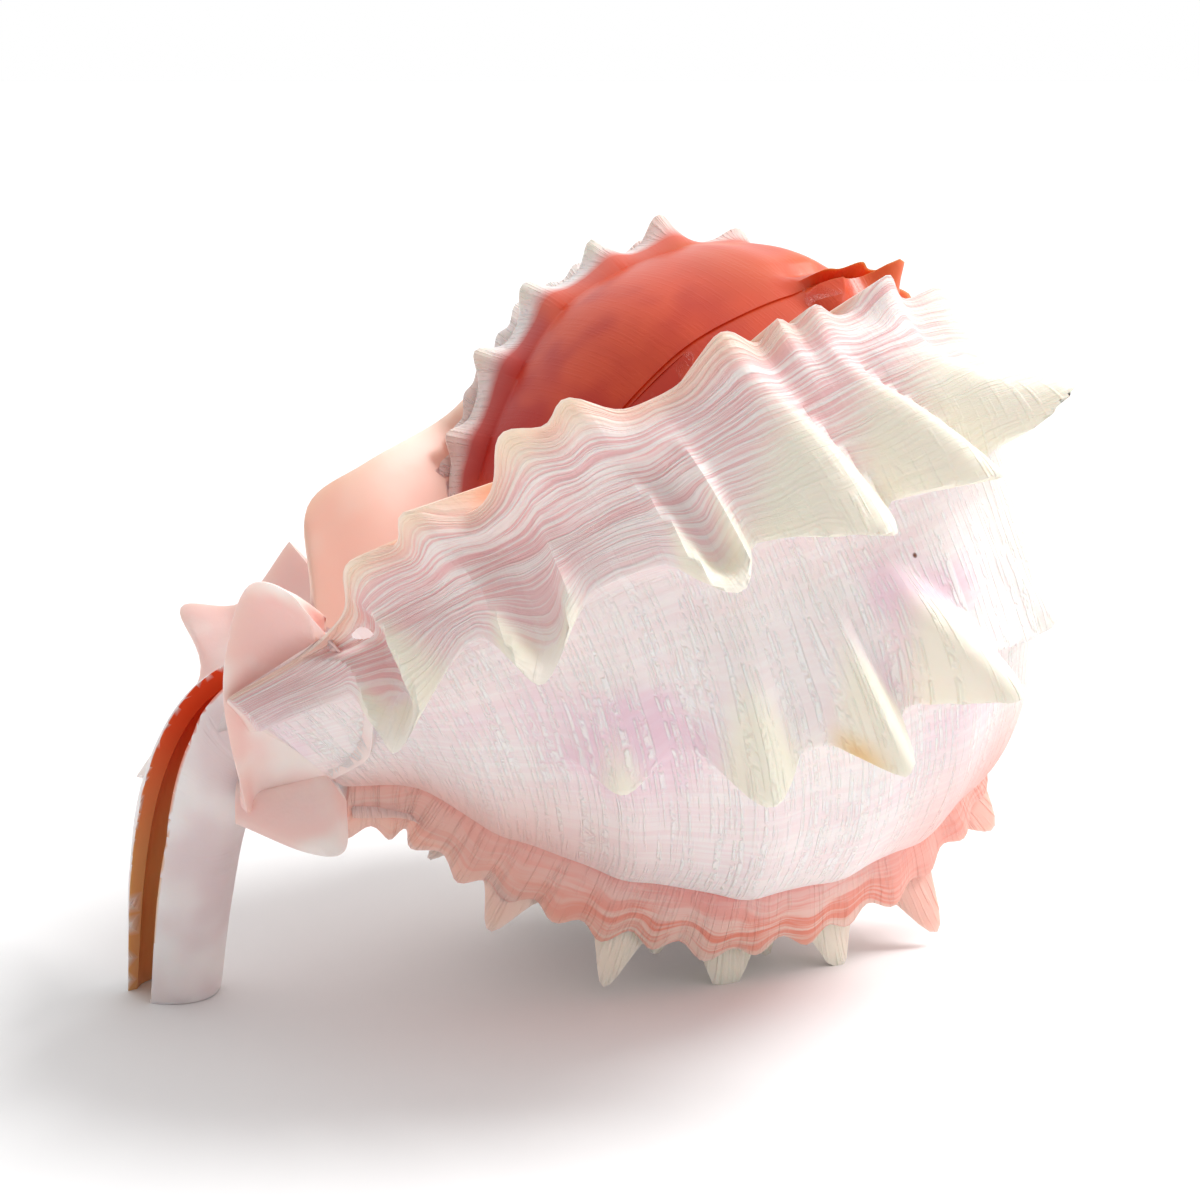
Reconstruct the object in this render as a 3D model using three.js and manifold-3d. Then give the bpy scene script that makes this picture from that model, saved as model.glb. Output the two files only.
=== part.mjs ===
// Large spiny sea-snail shell (dextral murex), grown as one piece of glazed lime.
// Millimetres, +Z up.  The shell rests on the tip of its bent siphonal canal and on the
// spines of its two newest old lips, with its mouth turned up and away.
import * as THREE from 'three';
import { mergeVertices } from 'three/addons/utils/BufferGeometryUtils.js';
import Module from 'manifold-3d';

const wasm = await Module();
wasm.setup();

// ---------------------------------------------------------------- driving dimensions
const WHORL_RATIO = 1.62;          // each turn is this many times wider than the one before
const TURNS = 4.7;                 // turns kept, counted back from the lip
const WALL = 2.4;                  // wall thickness at the lip
const WALL_DEEP = 3.2;             // wall thickness half a turn in
const CAVITY_REACH = 290;          // degrees that the hollow runs in behind the lip
const AXIS_RISE = 16.0;            // rest pose: axis rises this much from canal to apex
const AXIS_YAW = 28.6;             // rest pose: apex turned away from the front
const LIP_ROLL = 28.7;             // rest pose: lip plane rolled up from facing the front
const SETTLE = 3.0;                // rest pose: tips back until the second old lip touches down
const CANAL_RADIUS = [9.0, 8.2, 7.4, 6.6, 6.2, 6.0, 5.9, 5.6, 5.0];
const CHANNEL_RADIUS = 3.4;        // bore of the siphonal canal
const SLOT_HALF = 2.4;             // half width of the slot along the canal
const FLOOR_TRIM = 1.5;            // contact tips are worn flat by this much

// Outer outline of the last turn at the lip, from the suture forward to the canal:
// radius from the axis and height along it (apex at 0).
const OUTLINE = [
  [24.0, -12.6], [33.0, -10.0], [40.7, -13.9], [46.4, -26.1], [47.2, -39.4],
  [44.0, -54.4], [33.0, -69.7], [22.0, -79.5], [15.1, -84.5], [11.5, -92.0],
];

// Six strong spiral cords, as distances along that outline.
const CORDS = [88, 72, 56.5, 44, 32, 20];

// Teeth of the lip edge: place on the outline, height, half width; they reach forward half as far.
const LIP_TEETH = [
  [17, 1.5, 4], [26.5, 3.5, 2.5], [35.5, 2.5, 2], [39.5, 2.5, 1.5], [46, 3.5, 3],
  [60.5, 5, 2.5], [66.5, 6, 3.5], [78.5, 5, 2.5], [85.5, 4.5, 4],
];

// Newest row of hollow spines and lobes, just behind the lip: place on the outline, height,
// backward reach, width toward the canal and toward the suture.
const NEW_SPINES = [
  [88, 11.5, 8.5, 7, 5], [73, 11.5, 7.8, 5.5, 4.2], [55.5, 10.5, 6, 3.6, 2.6],
  [42, 10, 4.6, 13, 3], [31, 10.5, 3.5, 10, 3], [21, 13.5, 1.0, 9, 8],
];
// Growth stage of that row's rim along the outline.
const NEW_RIM = [
  [0, 16], [15, 17], [20, 17.5], [25, 20], [31, 20.5], [36, 20], [42, 20.5], [46, 19.5],
  [50, 18.5], [56, 18.5], [60, 18], [64, 17.5], [105, 17.5],
];
// Open channels in the first three spines: place at the top and tip, width, start, depth.
const CHANNELS = [
  [94.5, 88.5, 5.2, 1, 7.5], [73.6, 72.8, 5.4, 5, 7.5], [57.0, 55.4, 2.6, 8, 5.0],
];

// Row of broad leaning knobs half way round to the next old lip.
const KNOBS = [
  [71, 5, 2.5, 6, 4.5], [57.5, 8.5, 4, 6, 5], [46, 10.5, 4, 5, 3.5], [34, 11, 4, 9, 3.5],
  [20, 3.5, 1, 7, 6],
];

// Old lips (varices): degrees behind the present lip, relative strength, spine length.
const OLD_LIPS = [
  [98, 1.0, 1.0], [138, 1.0, 1.08], [186, 0.9, 0.9], [232, 0.8, 0.9], [276, 0.62, 0.9],
  [330, 0.9, 1.0], [376, 0.9, 1.0], [424, 0.9, 1.0], [472, 0.9, 1.0], [520, 0.9, 1.0],
  [568, 0.9, 1.0], [616, 0.9, 1.0], [664, 0.9, 1.0],
];
const OLD_LIP_SPINES = [[83, 10], [68.5, 11.5], [55, 10.5], [41.5, 11.5], [29.5, 13], [17, 10]];
const SMALL_SPINES = [[62, 8], [48.5, 9], [35, 6], [23, 6], [76, 6]];

// ---------------------------------------------------------------- outline curve
const GROWTH = Math.log(WHORL_RATIO) / (2 * Math.PI);
const DEG = Math.PI / 180;
const outline = [];
for (let i = 0; i < OUTLINE.length - 1; i++) {
  const p = OUTLINE;
  const b = p[i];
  const c = p[i + 1];
  const a = i > 0 ? p[i - 1] : [2 * b[0] - c[0], 2 * b[1] - c[1]];
  const d = i < p.length - 2 ? p[i + 2] : [2 * c[0] - b[0], 2 * c[1] - b[1]];
  for (let k = 0; k < 40; k++) {
    const u = k / 40;
    outline.push([0, 1].map((j) => 0.5 * (2 * b[j] + (c[j] - a[j]) * u
      + (2 * a[j] - 5 * b[j] + 4 * c[j] - d[j]) * u * u
      + (3 * b[j] - a[j] - 3 * c[j] + d[j]) * u * u * u)));
  }
}
outline.push(OUTLINE[OUTLINE.length - 1]);
const along = [-3.7];
for (let i = 1; i < outline.length; i++) {
  const dr = outline[i][0] - outline[i - 1][0];
  const dz = outline[i][1] - outline[i - 1][1];
  along.push(along[i - 1] + Math.hypot(dr, dz));
}
const SUTURE = along[0];
const FRONT = along[along.length - 1];

// Radius, height and outward normal at a distance along the outline.
function outlineAt(s) {
  let i = 1;
  while (i < along.length - 1 && along[i] < s) i++;
  const a = outline[i - 1];
  const b = outline[i];
  const step = along[i] - along[i - 1];
  const u = (s - along[i - 1]) / step;
  return {
    r: a[0] + (b[0] - a[0]) * u,
    z: a[1] + (b[1] - a[1]) * u,
    nr: -(b[1] - a[1]) / step,
    nz: (b[0] - a[0]) / step,
  };
}

// ---------------------------------------------------------------- relief of the outside
const bell = (x) => Math.exp(-x * x);
const clamp = (x) => Math.min(1, Math.max(0, x));
const ease = (x) => clamp(x) * clamp(x) * (3 - 2 * clamp(x));

// One at a growth stage, falling away over older and newer growth by given degrees.
function stage(deg, at, older, newer, powOld = 2, powNew = 1.6) {
  if (deg >= at) return (1 - clamp((deg - at) / older)) ** powOld;
  return (1 - clamp((at - deg) / newer)) ** powNew;
}

// A soft-cornered line through [place, value] pairs.
function between(x, pairs) {
  let i = 0;
  while (i < pairs.length - 2 && pairs[i + 1][0] < x) i++;
  const [a, b] = [pairs[i], pairs[i + 1]];
  return a[1] + (b[1] - a[1]) * ease((x - a[0]) / (b[0] - a[0]));
}

// One at a place on the outline, falling away over unlike widths, with a rounded top.
function tooth(s, at, canalSide, sutureSide) {
  const off = s - at;
  const soft = Math.sqrt(off * off + 0.8) - 0.9;
  const power = off > 0 && at < 50 ? 1.0 : 1.4;
  return clamp(1 - soft / (off > 0 ? canalSide : sutureSide)) ** power;
}

// Scallops of the lip edge alone: height and backward reach.
function scallop(deg, s) {
  let teeth = 0;
  for (const [c, h, half] of LIP_TEETH) teeth += h * bell((s - c) / half);
  const high = teeth * stage(Math.max(deg, 0), 0, 11, 1, 1.6);
  return [high, -0.5 * high];
}

// The newest row: a folded rim drawn out into channelled spines and cupped lobes.
function newestRow(deg, s) {
  const rim = between(s, NEW_RIM);
  const before = clamp((rim - deg) / rim);
  const drawn = s - clamp((50 - s) / 30) * 0.8 * Math.min(Math.max(rim - deg, 0), 17);
  const rise = deg < rim ? (1 - before) ** (1.35 + 0.5 * ease((s - 48) / 8))
    : stage(deg, rim, 3.2, 1, 1.7, 1);
  let crest = 2.0;
  let lean = 1.0;
  for (const [at, h, b, canalSide, sutureSide] of NEW_SPINES) {
    const t = tooth(drawn, at, canalSide, sutureSide);
    crest = Math.max(crest, 2.0 + (h - 2.0) * t);
    lean = Math.max(lean, 1.0 + (b - 1.0) * t);
  }
  let high = crest * rise;
  const back = lean * stage(deg, rim, 3.2, 9, 1.3, 2.0);
  for (const [top, end, wide, begin, depth] of CHANNELS) {
    if (deg <= begin) continue;
    const u = clamp((deg - begin) / (rim - begin));
    const off = (s - (top + (end - top) * u)) / (wide * (1 - 0.45 * u));
    high -= depth * 0.75 * clamp(1 - off * off) * Math.sqrt(u) * ease((rim + 0.4 - deg) / 2.2);
  }
  return [high, back];
}

// The row of broad leaning knobs behind it.
function knobRow(deg, s) {
  const rim = 47 - 4 * bell((s - 34) / 8);
  const after = Math.min(Math.max(rim - deg, 0), 17);
  const drawn = s - clamp((50 - s) / 12) * 0.5 * after;
  const web = ease((s - 12) / 12) * ease((68 - s) / 14);
  let crest = 3.2 * web;
  let lean = 1.5 * web;
  for (const [at, h, b, canalSide, sutureSide] of KNOBS) {
    const t = tooth(drawn, at, canalSide, sutureSide);
    crest = Math.max(crest, h * t);
    lean = Math.max(lean, b * t);
  }
  return [
    crest * stage(deg, rim, 3.2, 24, 1.7, 1.7),
    lean * stage(deg, rim, 3.2, 14, 1.4, 1.8),
  ];
}

// Height above the smooth outline and backward reach, for one point of the outside.
function relief(deg, s) {
  let [high, back] = scallop(deg, s);
  const buried = deg > 290 ? ease((s - 24) / 10) : 0;
  for (const c of CORDS) high += 0.7 * bell((s - c) / 3.2);
  for (const row of [newestRow(deg, s), knobRow(deg, s)]) {
    high += row[0];
    back += row[1];
  }
  for (const [at, k, long] of OLD_LIPS) {
    if (Math.abs(deg - at) > 40) continue;
    high -= 2.2 * k * bell((deg - at + 3.5) / 3);
    high += 5.3 * k * stage(deg, at + 2.5, 3, 3.2, 1.3, 1.1);
    back += 3.5 * k * stage(deg, at + 2.5, 3, 3.2, 1.3, 1.1);
    high += 4.0 * k * stage(deg, at + 8, 22, 3, 2, 1.2);
    for (const [c, h] of OLD_LIP_SPINES) {
      const g = bell((s - c) / 2.6);
      high += k * (h * long - 3.5) * g * stage(deg, at + 8, 12, 3.5, 2.4, 1.2);
      back += k * 2.0 * g * stage(deg, at + 8, 12, 3.5, 2, 1.2);
    }
    if (at >= 270) continue;                     // the far side bears low worn knobs only
    for (const [c, h] of SMALL_SPINES) {
      const g = bell((s - c) / 1.9);
      high += k * (h - 1.5) * g * stage(deg, at + 15, 6, 5, 2, 1.2);
    }
  }
  return [high * (1 - buried), back * (1 - buried)];
}

// A point of the shell from its growth stage, radius, height and backward reach.
function coil(deg, r, z, back = 0) {
  const q = Math.exp(-GROWTH * deg * DEG);
  const a = deg * DEG;
  return [
    q * (r * Math.cos(a) - back * Math.sin(a)),
    q * (r * Math.sin(a) + back * Math.cos(a)),
    q * z,
  ];
}

// ---------------------------------------------------------------- closed solids from loops
// Closes a run of equal loops into a solid; `flat` gives each loop's 2-D form for its end cap.
function solid(loops, flatFirst, flatLast) {
  const n = loops[0].length;
  const points = loops.flat();
  const faces = [];
  for (let k = 0; k < loops.length - 1; k++) {
    for (let i = 0; i < n; i++) {
      const j = (i + 1) % n;
      const a = k * n;
      const b = a + n;
      faces.push([a + i, a + j, b + j], [a + i, b + j, b + i]);
    }
  }
  const cap = (flat, base, forward) => {
    const contour = flat.map((p) => new THREE.Vector2(p[0], p[1]));
    const fill = THREE.ShapeUtils.triangulateShape(contour, []);
    const runs = fill.some((tri) => tri.some((v, m) => (v + 1) % n === tri[(m + 1) % 3]));
    for (const tri of fill) {
      const t = tri.map((v) => base + v);
      faces.push(runs === forward ? t : [t[0], t[2], t[1]]);
    }
  };
  cap(flatFirst, 0, false);
  cap(flatLast, (loops.length - 1) * n, true);
  let volume = 0;
  for (const [a, b, c] of faces) {
    const [p, q, r] = [points[a], points[b], points[c]];
    volume += p[0] * (q[1] * r[2] - q[2] * r[1]) + p[1] * (q[2] * r[0] - q[0] * r[2])
      + p[2] * (q[0] * r[1] - q[1] * r[0]);
  }
  const tris = volume < 0 ? faces.map(([a, b, c]) => [a, c, b]) : faces;
  const mesh = new wasm.Mesh({
    numProp: 3,
    vertProperties: new Float32Array(points.flat()),
    triVerts: new Uint32Array(tris.flat()),
  });
  return new wasm.Manifold(mesh);
}

// A run of turns, solid from its outside right in to the axis.  Up to `join` degrees it lies
// a little under the run before it, and comes up to the true surface just past there.
function turns(stages, samples, join, bottom) {
  const loops = [];
  const flats = [];
  for (const deg of stages) {
    const loop = [];
    const flat = [];
    const inset = 0.5 * (1 - ease((deg - join) / 14));
    for (const s of samples) {
      const o = outlineAt(s);
      const [high, back] = relief(deg, s);
      const r = o.r + (high - inset) * o.nr;
      const z = o.z + (high - inset) * o.nz;
      loop.push(coil(deg, r, z, back));
      flat.push([r, z]);
    }
    const top = outlineAt(samples[0]).z;
    const core = 1.2 / Math.exp(-GROWTH * deg * DEG);
    loop.push(coil(deg, core, bottom), coil(deg, core, top));
    flat.push([core, bottom], [core, top]);
    loops.push(loop);
    flats.push(flat);
  }
  return solid(loops, flats[0], flats[flats.length - 1]);
}

const span = (from, to, count) => {
  const list = [];
  for (let i = 0; i <= count; i++) list.push(from + (to - from) * i / count);
  return list;
};

// ---------------------------------------------------------------- last turn and spire
const lastStages = [0, 3, 7, 11, 14, 16.5, 18, 20, 22.5, 27, 34, 40, 43.5, 47, 50,
  60, 76, 90, 94.5, 98, 100.5, 103.5, 106, 109, 113, 121, 133, 138, 140.5,
  143.5, 146, 151, 160, 172, 182, 186, 188.5, 191.5, 194, 201, 214, 227, 232,
  234.5, 237.5, 240, 248, 262, 273, 276, 278.5, 281.5, 284, 292, 306, 335];
const fineSamples = [SUTURE, 2, 8, 13, 17, 19, 21.5, 24, 27, 29.3, 31, 34, 37.5, 39.6, 42, 44.5, 48,
  51.5, 54.2, 55.5, 57.4, 60.4, 64, 67, 69, 71, 73, 75.5, 78.3, 81, 84, 86, 88, 91, 95, 99, 103, FRONT];
const lastTurn = turns(lastStages, fineSamples, -99, -92);

let turnsJoined = turns(span(300, 620, 21), span(SUTURE, FRONT, 14), 330, -90).add(lastTurn);
turnsJoined = turnsJoined.add(turns(span(590, 900, 18), span(SUTURE, 60, 10), 615, -60));
for (let from = 870; from < 360 * TURNS - 60; from += 290) {
  const to = Math.min(from + 310, 360 * TURNS);
  turnsJoined = turnsJoined.add(turns(span(from, to, 12), span(SUTURE, 46, 7), from + 25, -40));
}
const tip = coil(360 * TURNS, 0.4, -26);
const apex = wasm.Manifold.sphere(5.4, 18).scale([1, 1, 0.7]).translate([0, 0, tip[2] + 0.6]);
const pillar = wasm.Manifold.cylinder(34, 3.2, 2.2, 12).translate([0, 0, -37.5]);

// ---------------------------------------------------------------- the hollow of the mouth
// Follows the outside at one wall's thickness, and the previous turn on its inner side.
const PARIETAL = [
  [10.5, -83.0], [8.6, -74.0], [8.8, -64.0], [11.0, -56.0], [17.5, -48.6], [23.6, -41.0],
  [28.6, -33.0], [30.8, -25.0], [30.6, -18.5],
];
const cavitySamples = span(4.5, 87.5, 20);
const cavityLoops = [];
const cavityFlats = [];
for (const deg of [-24, -14, -6, 0, 5, 10, 16, ...span(28, CAVITY_REACH, 12)]) {
  const wall = WALL + (WALL_DEEP - WALL) * clamp(deg / 90);
  const shrink = 1 - 0.5 * ease((deg - 240) / 60);
  const stageDeg = Math.max(deg, 0);
  const ahead = deg < 0 ? deg : 0;
  const loop = [];
  const flat = [];
  for (const s of cavitySamples) {
    const o = outlineAt(s);
    const [high] = scallop(stageDeg, s);
    const mouth = high * 0.9 - wall - 0.6 * ease(deg / 10);
    loop.push([o.r + mouth * o.nr, o.z + mouth * o.nz]);
  }
  for (const p of PARIETAL) loop.push([p[0], p[1]]);
  const mid = [26, -42];
  for (const p of loop) {
    flat.push([mid[0] + (p[0] - mid[0]) * shrink, mid[1] + (p[1] - mid[1]) * shrink]);
  }
  const q = Math.exp(-GROWTH * stageDeg * DEG);
  const a = (stageDeg + ahead) * DEG;
  cavityLoops.push(flat.map(([r, z]) => [q * r * Math.cos(a), q * r * Math.sin(a), q * z]));
  cavityFlats.push(flat);
}
const cavity = solid(cavityLoops, cavityFlats[0], cavityFlats[cavityFlats.length - 1]);

// ---------------------------------------------------------------- siphonal canal
// A half-closed tube that leaves the front of the shell along the axis and bends down
// through a right angle; its slot runs along the side that carried the mouth.
const CANAL = [
  [0, 0, -34], [0, 0, -50], [0, 0, -64], [0, 0, -76], [-0.5, -1.2, -85.0],
  [-3.6, -1.2, -89.6], [-9.7, 2.0, -93.9], [-17.9, 7.4, -97.2], [-27.8, 15.8, -101.0],
];
const CANAL_FACE = [
  [0, 0.35, -0.93, 0], [0.45, 0.35, -0.93, 0], [0.62, 0.62, -0.45, -0.65],
  [0.78, 0.62, -0.13, -0.75], [1, 0.39, -0.16, -0.90],
];

function alongCanal(u) {
  const curve = new THREE.CatmullRomCurve3(CANAL.map((p) => new THREE.Vector3(...p)));
  const point = curve.getPoint(u);
  const along3 = curve.getTangent(u);
  let m = 0;
  while (m < CANAL_FACE.length - 2 && CANAL_FACE[m + 1][0] < u) m++;
  const share = (u - CANAL_FACE[m][0]) / (CANAL_FACE[m + 1][0] - CANAL_FACE[m][0]);
  const face = new THREE.Vector3(...CANAL_FACE[m].slice(1))
    .lerp(new THREE.Vector3(...CANAL_FACE[m + 1].slice(1)), share);
  face.addScaledVector(along3, -face.dot(along3)).normalize();
  const side = new THREE.Vector3().crossVectors(along3, face);
  const k = u * (CANAL_RADIUS.length - 1);
  const i = Math.min(Math.floor(k), CANAL_RADIUS.length - 2);
  const radius = CANAL_RADIUS[i] + (CANAL_RADIUS[i + 1] - CANAL_RADIUS[i]) * (k - i);
  return { point, face, side, radius };
}

function canalBody() {
  const loops = [];
  const flats = [];
  for (const u of span(0, 1, 18)) {
    const { point, face, side, radius } = alongCanal(u);
    const flat = span(0, 2 * Math.PI, 12).slice(0, 12)
      .map((a) => [radius * Math.cos(a), radius * 1.05 * Math.sin(a)]);
    flats.push(flat);
    loops.push(flat.map(([x, y]) => {
      const p = point.clone().addScaledVector(face, x).addScaledVector(side, y);
      return [p.x, p.y, p.z];
    }));
  }
  return solid(loops, flats[0], flats[flats.length - 1]);
}

function canalChannel() {
  const loops = [];
  const flats = [];
  for (const u of span(0.42, 1.06, 16)) {
    const { point, face, side } = alongCanal(Math.min(u, 1));
    const beyond = Math.max(0, u - 1) * 120;
    const ahead = new THREE.Vector3().crossVectors(face, side).multiplyScalar(beyond);
    const flat = [[12, SLOT_HALF + 0.8], [5.0, SLOT_HALF]];
    for (const a of span(40, 320, 6)) {
      flat.push([CHANNEL_RADIUS * Math.cos(a * DEG) + 0.8, CHANNEL_RADIUS * Math.sin(a * DEG)]);
    }
    flat.push([5.0, -SLOT_HALF], [12, -SLOT_HALF - 0.8]);
    flats.push(flat);
    loops.push(flat.map(([x, y]) => {
      const p = point.clone().addScaledVector(face, x).addScaledVector(side, y).add(ahead);
      return [p.x, p.y, p.z];
    }));
  }
  return solid(loops, flats[0], flats[flats.length - 1]);
}

// ---------------------------------------------------------------- thin lobes
// A lobe between its free edge and the line where it grows from the body.
function lobe(edge, root, thick) {
  const loops = [];
  const flats = [];
  const n = edge.length;
  for (let i = 0; i < n; i++) {
    const e = new THREE.Vector3(...edge[i]);
    const r = new THREE.Vector3(...root[i]);
    const next = new THREE.Vector3(...edge[Math.min(i + 1, n - 1)]);
    const prev = new THREE.Vector3(...edge[Math.max(i - 1, 0)]);
    const out = e.clone().sub(r).normalize();
    const face = next.sub(prev).cross(out).normalize();
    const corner = (p, k) => {
      const v = p.clone().addScaledVector(face, k);
      return [v.x, v.y, v.z];
    };
    const mid = e.clone().lerp(r, 0.5);
    loops.push([
      corner(e, thick * 0.2), corner(mid, thick * 0.5), corner(r, thick * 0.6),
      corner(r, -thick * 0.6), corner(mid, -thick * 0.5), corner(e, -thick * 0.2),
    ]);
    flats.push([[10, 0.2], [5, 0.5], [0, 0.6], [0, -0.6], [5, -0.5], [10, -0.2]]);
  }
  return solid(loops, flats[0], flats[n - 1]);
}

const frontLobe = lobe(
  [[17, 0, -82], [20, -5, -84], [17, -8, -87], [11, -1, -92], [2, 9, -93]],
  [[16, 5, -79], [13, 8, -79], [8, 10, -80], [3, 9, -84], [-2, 8, -88]], 2.6);

const innerFlap = lobe(
  [[4, -10, -76], [5, -19, -72], [6, -21, -64], [3, -24, -52], [0, -28, -44]],
  [[2, -2, -79], [3, -2, -74], [3, -2, -69], [2, -4, -60], [1, -10, -48]], 2.4);

const oldLobe = lobe(
  [[-5, -20, -72], [-12, -18, -78], [-17, -22, -83], [-13, -12, -86], [-19, -6, -96]],
  [[-2, -3, -70], [-3, -2, -75], [-3, -2, -81], [-5, -2, -87], [-8, 0, -92]], 2.6);

const canalSpine = lobe(
  [[0, 9, -94], [4, 16, -90], [6, 18, -87], [5, 13, -84]],
  [[-3, 5, -91], [-1, 7, -88], [0, 7, -85], [0, 6, -82]], 2.2);

// ---------------------------------------------------------------- join, cut, set down
// Welds near-equal corners, then keeps the one connected skin without closed-up pockets.
function largest(joined) {
  const raw = joined.getMesh();
  const loose = new THREE.BufferGeometry();
  loose.setAttribute('position', new THREE.BufferAttribute(new Float32Array(raw.vertProperties), 3));
  loose.setIndex(new THREE.BufferAttribute(new Uint32Array(raw.triVerts), 1));
  const welded = mergeVertices(loose.toNonIndexed(), 5e-3);
  const again = new wasm.Manifold(new wasm.Mesh({
    numProp: 3,
    vertProperties: new Float32Array(welded.attributes.position.array),
    triVerts: new Uint32Array(welded.index.array),
  }));
  return again.decompose().sort((a, b) => b.volume() - a.volume())[0];
}

const canal = canalBody();
let body = turnsJoined.add(apex).add(pillar).add(canal);
body = body.add(frontLobe).add(innerFlap).add(oldLobe).add(canalSpine);
body = largest(body);
body = largest(body.subtract(cavity).subtract(canalChannel()));

// Rest pose: columns are the lip direction, the quarter turn behind it, and the axis.
const rise = AXIS_RISE * DEG;
const yaw = AXIS_YAW * DEG;
const axis = new THREE.Vector3(
  Math.cos(rise) * Math.cos(yaw), Math.cos(rise) * Math.sin(yaw), Math.sin(rise));
const front = new THREE.Vector3(0, -1, 0);
front.addScaledVector(axis, -front.dot(axis)).normalize();
const upward = new THREE.Vector3().crossVectors(front, axis);
const roll = LIP_ROLL * DEG;
const lipWay = front.clone().multiplyScalar(Math.cos(roll)).addScaledVector(upward, Math.sin(roll));
const behind = front.clone().multiplyScalar(Math.sin(roll)).addScaledVector(upward, -Math.cos(roll));
body = body.transform([
  lipWay.x, lipWay.y, lipWay.z, 0, behind.x, behind.y, behind.z, 0,
  axis.x, axis.y, axis.z, 0, 0, 0, 0, 1,
]);
body = body.rotate([-SETTLE, 0, 0]);
const low = body.boundingBox().min[2];
body = body.trimByPlane([0, 0, 1], low + FLOOR_TRIM);
body = largest(body);
const box = body.boundingBox();
body = largest(body.translate([
  -(box.min[0] + box.max[0]) / 2, -(box.min[1] + box.max[1]) / 2, -box.min[2],
]));

// ---------------------------------------------------------------- the named piece
const cut = body.getMesh();
const geometry = new THREE.BufferGeometry();
geometry.setAttribute('position', new THREE.BufferAttribute(new Float32Array(cut.vertProperties), 3));
geometry.setIndex(new THREE.BufferAttribute(new Uint32Array(cut.triVerts), 1));
geometry.computeVertexNormals();
const shellSurface = new THREE.MeshStandardMaterial({ color: 0xf3c9c4, roughness: 0.45 });
shellSurface.name = 'shell_surface';
const shell = new THREE.Mesh(geometry, shellSurface);
shell.name = 'shell';

const group = new THREE.Group();
group.name = 'murex_shell';
group.add(shell);

export default group;
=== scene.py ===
# A large spiny pink-mouthed sea-snail shell, at rest on its canal and its spine tips.
# Metres, +Z up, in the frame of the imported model.
import math
import bmesh
import bpy
import numpy as np
from mathutils import Matrix, Vector
from mathutils.bvhtree import BVHTree


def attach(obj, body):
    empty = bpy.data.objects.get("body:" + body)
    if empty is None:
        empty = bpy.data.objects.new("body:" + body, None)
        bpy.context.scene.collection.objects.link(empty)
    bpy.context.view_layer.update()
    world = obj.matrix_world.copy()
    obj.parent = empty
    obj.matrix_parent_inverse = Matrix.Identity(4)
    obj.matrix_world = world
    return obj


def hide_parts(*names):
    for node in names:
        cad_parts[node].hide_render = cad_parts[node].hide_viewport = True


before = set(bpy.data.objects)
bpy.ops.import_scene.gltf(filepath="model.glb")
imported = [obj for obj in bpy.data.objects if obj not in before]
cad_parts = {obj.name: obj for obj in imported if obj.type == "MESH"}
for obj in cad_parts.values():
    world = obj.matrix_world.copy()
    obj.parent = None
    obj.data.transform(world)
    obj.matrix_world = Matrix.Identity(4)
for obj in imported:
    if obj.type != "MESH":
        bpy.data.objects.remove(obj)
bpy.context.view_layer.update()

# ---------------------------------------------------------------- the growing outline
# The animal lays lime on along one outline, from the suture forward to the canal, while that
# outline turns about the axis and widens by the same share each turn.  Millimetres, apex at 0.
WHORL_RATIO = 1.62
GROWTH = math.log(WHORL_RATIO) / (2 * math.pi)
OUTLINE = [
    (24.0, -12.6), (33.0, -10.0), (40.7, -13.9), (46.4, -26.1), (47.2, -39.4),
    (44.0, -54.4), (33.0, -69.7), (22.0, -79.5), (15.1, -84.5), (11.5, -92.0),
]
SUTURE_AT = -3.7


def smooth_line(points, steps):
    """A smooth line through points, with the given steps between each two."""
    p = np.asarray(points, float)
    p = np.vstack([2 * p[0] - p[1], p, 2 * p[-1] - p[-2]])
    parts = []
    for i in range(len(points) - 1):
        a, b, c, d = p[i:i + 4]
        u = np.linspace(0, 1, steps, endpoint=False)[:, None]
        parts.append(0.5 * (2 * b + (c - a) * u + (2 * a - 5 * b + 4 * c - d) * u ** 2
                            + (3 * b - a - 3 * c + d) * u ** 3))
    return np.vstack(parts + [p[-2][None]])


outline = smooth_line(OUTLINE, 40)
outline_at = np.concatenate([[0], np.cumsum(np.hypot(*np.diff(outline, axis=0).T))])
outline_at += SUTURE_AT
SUTURE, FRONT = float(outline_at[0]), float(outline_at[-1])


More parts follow.
